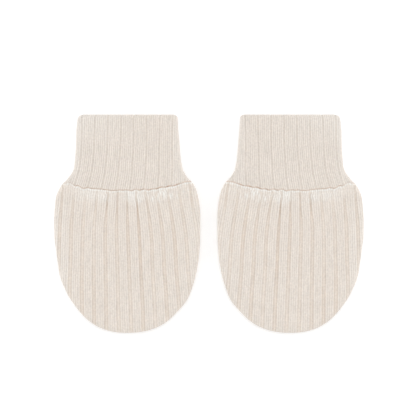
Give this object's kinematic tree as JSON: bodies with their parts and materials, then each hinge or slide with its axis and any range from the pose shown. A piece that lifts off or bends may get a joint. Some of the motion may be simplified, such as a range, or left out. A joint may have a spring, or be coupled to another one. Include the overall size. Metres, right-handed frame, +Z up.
{
  "type": "pair of baby mittens",
  "caption": "Pair of newborn mittens in wide rib knit, laid flat: egg-shaped bodies gathered at a sagging wrist seam onto long cuffs folded double.",
  "frame": {"origin": "under the middle of the pair, on the surface that it lies on", "axes": "+Z up, +X to the right across the pair, +Y towards the cuffs' folds"},
  "size_m": [0.1692, 0.12, 0.0057],
  "materials": {
    "rib_knit": "matt cream cotton rib knit, wide ribs with fine wales"
  },
  "bodies": {
    "root": {"left_front_panel": "rib_knit", "left_back_panel": "rib_knit", "left_cuff": "rib_knit", "right_front_panel": "rib_knit", "right_back_panel": "rib_knit", "right_cuff": "rib_knit"}
  },
  "joints": []
}
